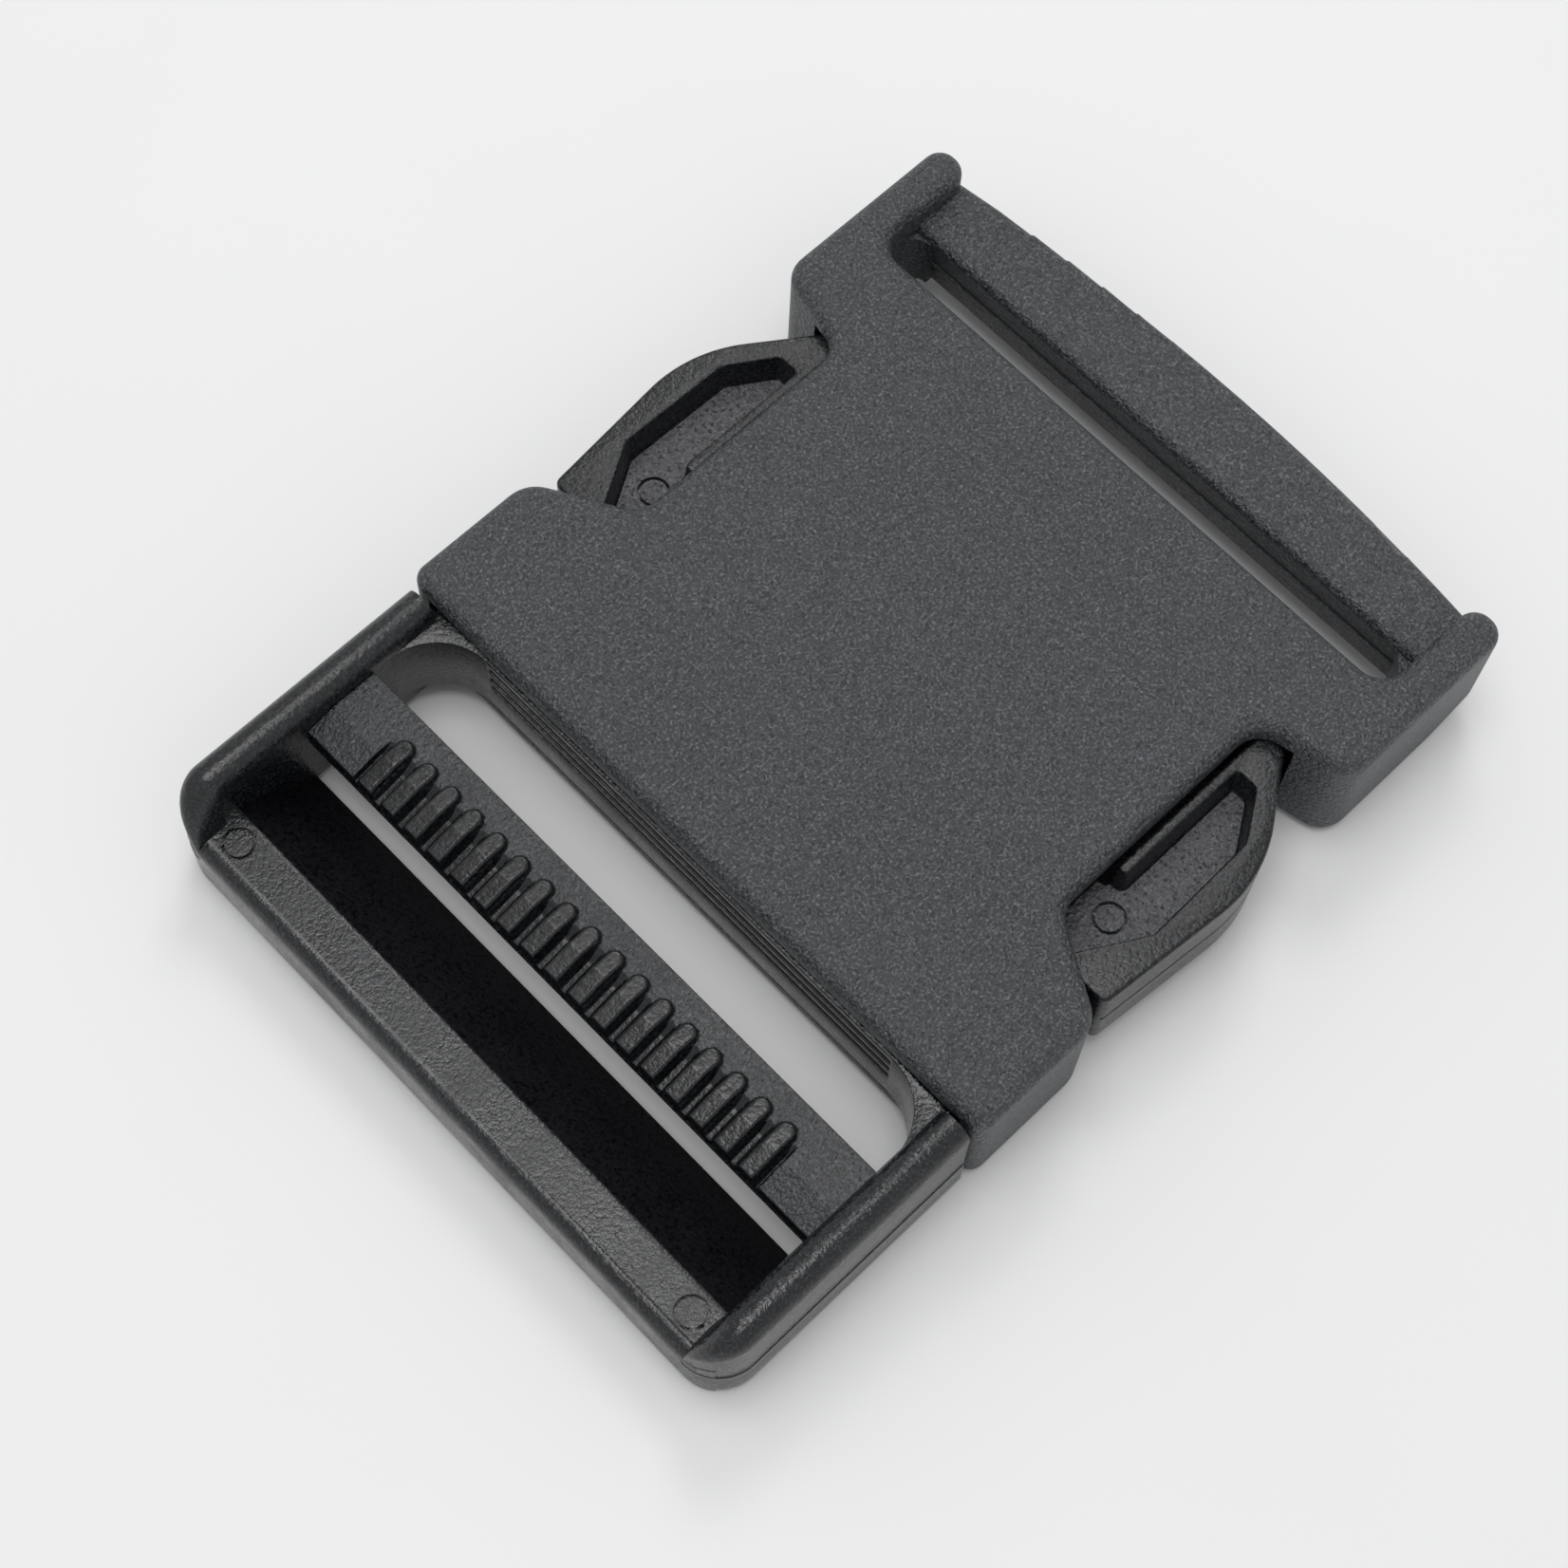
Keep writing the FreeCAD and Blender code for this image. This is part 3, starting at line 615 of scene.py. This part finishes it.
def moulded_plastic(name, colour, roughness, grain, speckle, streak, gloss=0.5, depth=0.00006):
    """Black moulded plastic with spark-eroded grain, pale specks and faint flow streaks."""
    material = bpy.data.materials.new(name)
    material.use_nodes = True
    tree = material.node_tree
    nodes, links = tree.nodes, tree.links
    shader = nodes["Principled BSDF"]
    place = nodes.new("ShaderNodeTexCoord")

    def noise(scale, detail, stretch=(1, 1, 1)):
        mapping = nodes.new("ShaderNodeMapping")
        mapping.inputs["Scale"].default_value = stretch
        links.new(place.outputs["Object"], mapping.inputs["Vector"])
        node = nodes.new("ShaderNodeTexNoise")
        node.inputs["Scale"].default_value = scale
        node.inputs["Detail"].default_value = detail
        links.new(mapping.outputs["Vector"], node.inputs["Vector"])
        return node.outputs["Fac"]

    def span(value, low, high, to_low, to_high):
        node = nodes.new("ShaderNodeMapRange")
        node.inputs["From Min"].default_value = low
        node.inputs["From Max"].default_value = high
        node.inputs["To Min"].default_value = to_low
        node.inputs["To Max"].default_value = to_high
        links.new(value, node.inputs["Value"])
        return node.outputs["Result"]

    def blend_colour(factor, first, second):
        node = nodes.new("ShaderNodeMix")
        node.data_type = "RGBA"
        links.new(factor, node.inputs["Factor"])
        for socket, value in ((node.inputs[MIX_FIRST], first), (node.inputs[MIX_SECOND], second)):
            if isinstance(value, tuple):
                socket.default_value = (*value, 1)
            else:
                links.new(value, socket)
        return node.outputs[MIX_RESULT]

    fine = noise(FINE_SCALE, detail=3)
    coarse = noise(COARSE_SCALE, detail=3)
    cloudy = noise(CLOUD_SCALE, detail=4)
    flow = noise(FLOW_SCALE, detail=3, stretch=FLOW_STRETCH)

    specks = span(fine, *SPECK_RANGE, 0, speckle)
    lifted = tuple(part * CLOUD_LIFT for part in colour)
    pitted = tuple(part * PIT_SHADE for part in colour)
    toned = blend_colour(span(cloudy, *NOISE_RANGE, 0, 1), colour, lifted)
    toned = blend_colour(span(coarse, *PIT_RANGE, 1, 0), toned, pitted)
    links.new(blend_colour(specks, toned, SPECK_COLOUR), shader.inputs["Base Color"])

    add = nodes.new("ShaderNodeMath")
    add.operation = "ADD"
    mottled = span(coarse, *NOISE_RANGE, roughness - ROUGHNESS_SPREAD, roughness + ROUGHNESS_SPREAD)
    links.new(mottled, add.inputs[0])
    links.new(span(flow, *FLOW_RANGE, -streak, streak), add.inputs[1])
    links.new(add.outputs[0], shader.inputs["Roughness"])

    relief = nodes.new("ShaderNodeMath")
    relief.operation = "ADD"
    links.new(span(fine, *NOISE_RANGE, 0, FINE_RELIEF), relief.inputs[0])
    links.new(span(coarse, *NOISE_RANGE, 0, 1.0), relief.inputs[1])
    bump = nodes.new("ShaderNodeBump")
    bump.inputs["Strength"].default_value = grain
    bump.inputs["Distance"].default_value = depth
    links.new(relief.outputs[0], bump.inputs["Height"])
    links.new(bump.outputs["Normal"], shader.inputs["Normal"])
    shader.inputs["Specular IOR Level"].default_value = gloss
    return material


def wear(obj, material):
    """Give an object one material."""
    obj.data.materials.clear()
    obj.data.materials.append(material)


def accent(obj, material, chosen):
    """Give the faces picked by chosen(centre in mm, normal) a second material."""
    obj.data.materials.append(material)
    for polygon in obj.data.polygons:
        if chosen(polygon.center / MM, polygon.normal):
            polygon.material_index = 1


def painted_shade_on_ramp_or_groove(centre, normal):
    """Faces of the end bar's ramp and of the base beam's grooves, which get a darker plastic as painted
    shade.
    """
    ramp = RAMP_TOP_X < centre.x < RAMP_FOOT_X and RAMP_SLOPES[0] < normal.z < RAMP_SLOPES[1]
    near, far = (share * GROOVE_DEPTH for share in GROOVE_SHARES)
    foot, top = GROOVE_HEIGHTS[0] - GROOVE_FOOT_MARGIN, BEAM_TOP_Z - GROOVE_TOP_MARGIN
    groove = near < centre.x - BEAM_OUTER_X < far and foot < centre.z < top
    return (ramp or groove) and abs(centre.y) < RAIL_INNER_Y


def on_rib(centre, normal):
    """Faces of the grip bar's ribs, of the valleys between them and of its lower sides."""
    return centre.z < GRIP_REAR_Z or abs(centre.z - grip_base(centre.x)) > RIB_TRACE


def on_pocket_floor(centre, normal):
    """Faces of the recessed floor of an arm's press pad."""
    return normal.z > LEVEL_SLOPE and abs(centre.z - ARM_FLOOR_Z) < FLOOR_MARGIN


def floor_material():
    """Pale, faintly mottled studio floor."""
    material = bpy.data.materials.new("pale_floor")
    material.use_nodes = True
    nodes, links = material.node_tree.nodes, material.node_tree.links
    shader = nodes["Principled BSDF"]
    shader.inputs["Roughness"].default_value = FLOOR_ROUGHNESS
    place = nodes.new("ShaderNodeTexCoord")
    mottle = nodes.new("ShaderNodeTexNoise")
    mottle.inputs["Scale"].default_value = FLOOR_MOTTLE_SCALE
    mottle.inputs["Detail"].default_value = FLOOR_MOTTLE_DETAIL
    tone = nodes.new("ShaderNodeMix")
    tone.data_type = "RGBA"
    tone.inputs[MIX_FIRST].default_value, tone.inputs[MIX_SECOND].default_value = FLOOR_TONES
    links.new(place.outputs["Object"], mottle.inputs["Vector"])
    links.new(mottle.outputs["Fac"], tone.inputs["Factor"])
    links.new(tone.outputs[MIX_RESULT], shader.inputs["Base Color"])
    return material


def area_light(name, place, size, power):
    """Square soft light that points at the buckle."""
    light = bpy.data.lights.new(name, "AREA")
    light.shape = "RECTANGLE"
    light.size = size
    light.size_y = size
    light.energy = power
    obj = link(name, light)
    obj.location = place
    obj.rotation_mode = "QUATERNION"
    obj.rotation_quaternion = (-Vector(place)).to_track_quat("-Z", "Y")


def make_stage():
    """Floor, even sky and the two lights."""
    floor = mesh_object("floor", [(-FLOOR_REACH, -FLOOR_REACH, 0), (FLOOR_REACH, -FLOOR_REACH, 0),
                                  (FLOOR_REACH, FLOOR_REACH, 0), (-FLOOR_REACH, FLOOR_REACH, 0)],
                        [(0, 1, 2, 3)])
    floor.location.z = -FLOOR_DROP * MM
    floor.data.materials.append(floor_material())

    world = bpy.data.worlds.new("studio")
    bpy.context.scene.world = world
    world.use_nodes = True
    nodes, links = world.node_tree.nodes, world.node_tree.links
    background = nodes["Background"]
    background.inputs["Strength"].default_value = SKY_STRENGTH
    direction = nodes.new("ShaderNodeTexCoord")
    height = nodes.new("ShaderNodeSeparateXYZ")
    fade = nodes.new("ShaderNodeValToRGB")
    for stop, (position, colour) in zip(fade.color_ramp.elements, SKY_FADE):
        stop.position = position
        stop.color = colour
    links.new(direction.outputs["Generated"], height.inputs["Vector"])
    links.new(height.outputs["Z"], fade.inputs["Fac"])
    links.new(fade.outputs["Color"], background.inputs["Color"])
    bpy.context.scene.view_settings.view_transform = "Standard"
    for name, light in LIGHTS.items():
        area_light(name, **light)


def make_camera():
    """Camera placed by its heading from +X, its tilt below the horizon and its roll."""
    heading, tilt, roll = radians(CAMERA_HEADING), radians(CAMERA_TILT), radians(CAMERA_ROLL)
    forward = Vector((cos(heading) * cos(tilt), sin(heading) * cos(tilt), -sin(tilt)))
    level = forward.cross(Vector((0, 0, 1))).normalized()
    rise = level.cross(forward)
    right = level * cos(roll) + rise * sin(roll)
    up = rise * cos(roll) - level * sin(roll)
    data = bpy.data.cameras.new("camera")
    data.lens = CAMERA_LENS
    data.sensor_width = SENSOR_WIDTH
    data.clip_start = CAMERA_NEAR
    camera = link("camera", data)
    turn = Matrix((right, up, -forward)).transposed().to_4x4()
    camera.matrix_world = Matrix.Translation(Vector(CAMERA_PLACE) * MM) @ turn
    bpy.context.scene.camera = camera


socket_plastic = moulded_plastic("socket_grained_plastic", (0.0175, 0.0205, 0.024), roughness=0.44,
                                 grain=1.0, speckle=0.9, streak=0.02, gloss=0.75, depth=0.00012)
frame_plastic = moulded_plastic("plug_smooth_plastic", (0.0055, 0.0062, 0.0075), roughness=0.23,
                                grain=0.40, speckle=0.22, streak=0.10, gloss=0.55)
# Near-black plastic for the ramp under the end bar and the beam's grooves: painted shade for those
# hollows in shadow
ramp_and_groove_painted_shade = moulded_plastic("ramp_and_groove_painted_shade", (0.0035, 0.0036, 0.0052), roughness=0.38,
                               grain=0.15, speckle=0.04, streak=0.05, gloss=0.2)
rib_plastic = moulded_plastic("rib_plastic", (0.004, 0.0045, 0.0055), roughness=0.24,
                              grain=0.25, speckle=0.12, streak=0.05)
grip_plastic = moulded_plastic("grip_bar_plastic", (0.009, 0.010, 0.0118), roughness=0.32,
                               grain=0.8, speckle=0.4, streak=0.06)
arm_plastic = moulded_plastic("plug_grained_plastic", (0.0045, 0.0050, 0.0060), roughness=0.26,
                              grain=0.5, speckle=0.22, streak=0.06, gloss=0.45)
pocket_plastic = moulded_plastic("pocket_floor_plastic", (0.070, 0.069, 0.074), roughness=0.38,
                                 grain=1.0, speckle=1.0, streak=0.04, gloss=0.9, depth=0.00014)

for node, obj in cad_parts.items():
    wear(obj, socket_plastic if node.startswith("socket") else frame_plastic)
    shade(obj, angle=30)

plug_frame = make_plug_frame()
wear(plug_frame, frame_plastic)
# The ramp and the beam's grooves get the near-black plastic as painted shade
accent(plug_frame, ramp_and_groove_painted_shade, painted_shade_on_ramp_or_groove)
grip_bar = make_grip_bar()
wear(grip_bar, grip_plastic)
accent(grip_bar, rib_plastic, on_rib)
wear(make_bar_flash(), socket_plastic)
for arm in (make_arm("left_arm", 1), make_arm("right_arm", -1)):
    wear(arm, arm_plastic)
    accent(arm, pocket_plastic, on_pocket_floor)
make_stage()
make_camera()
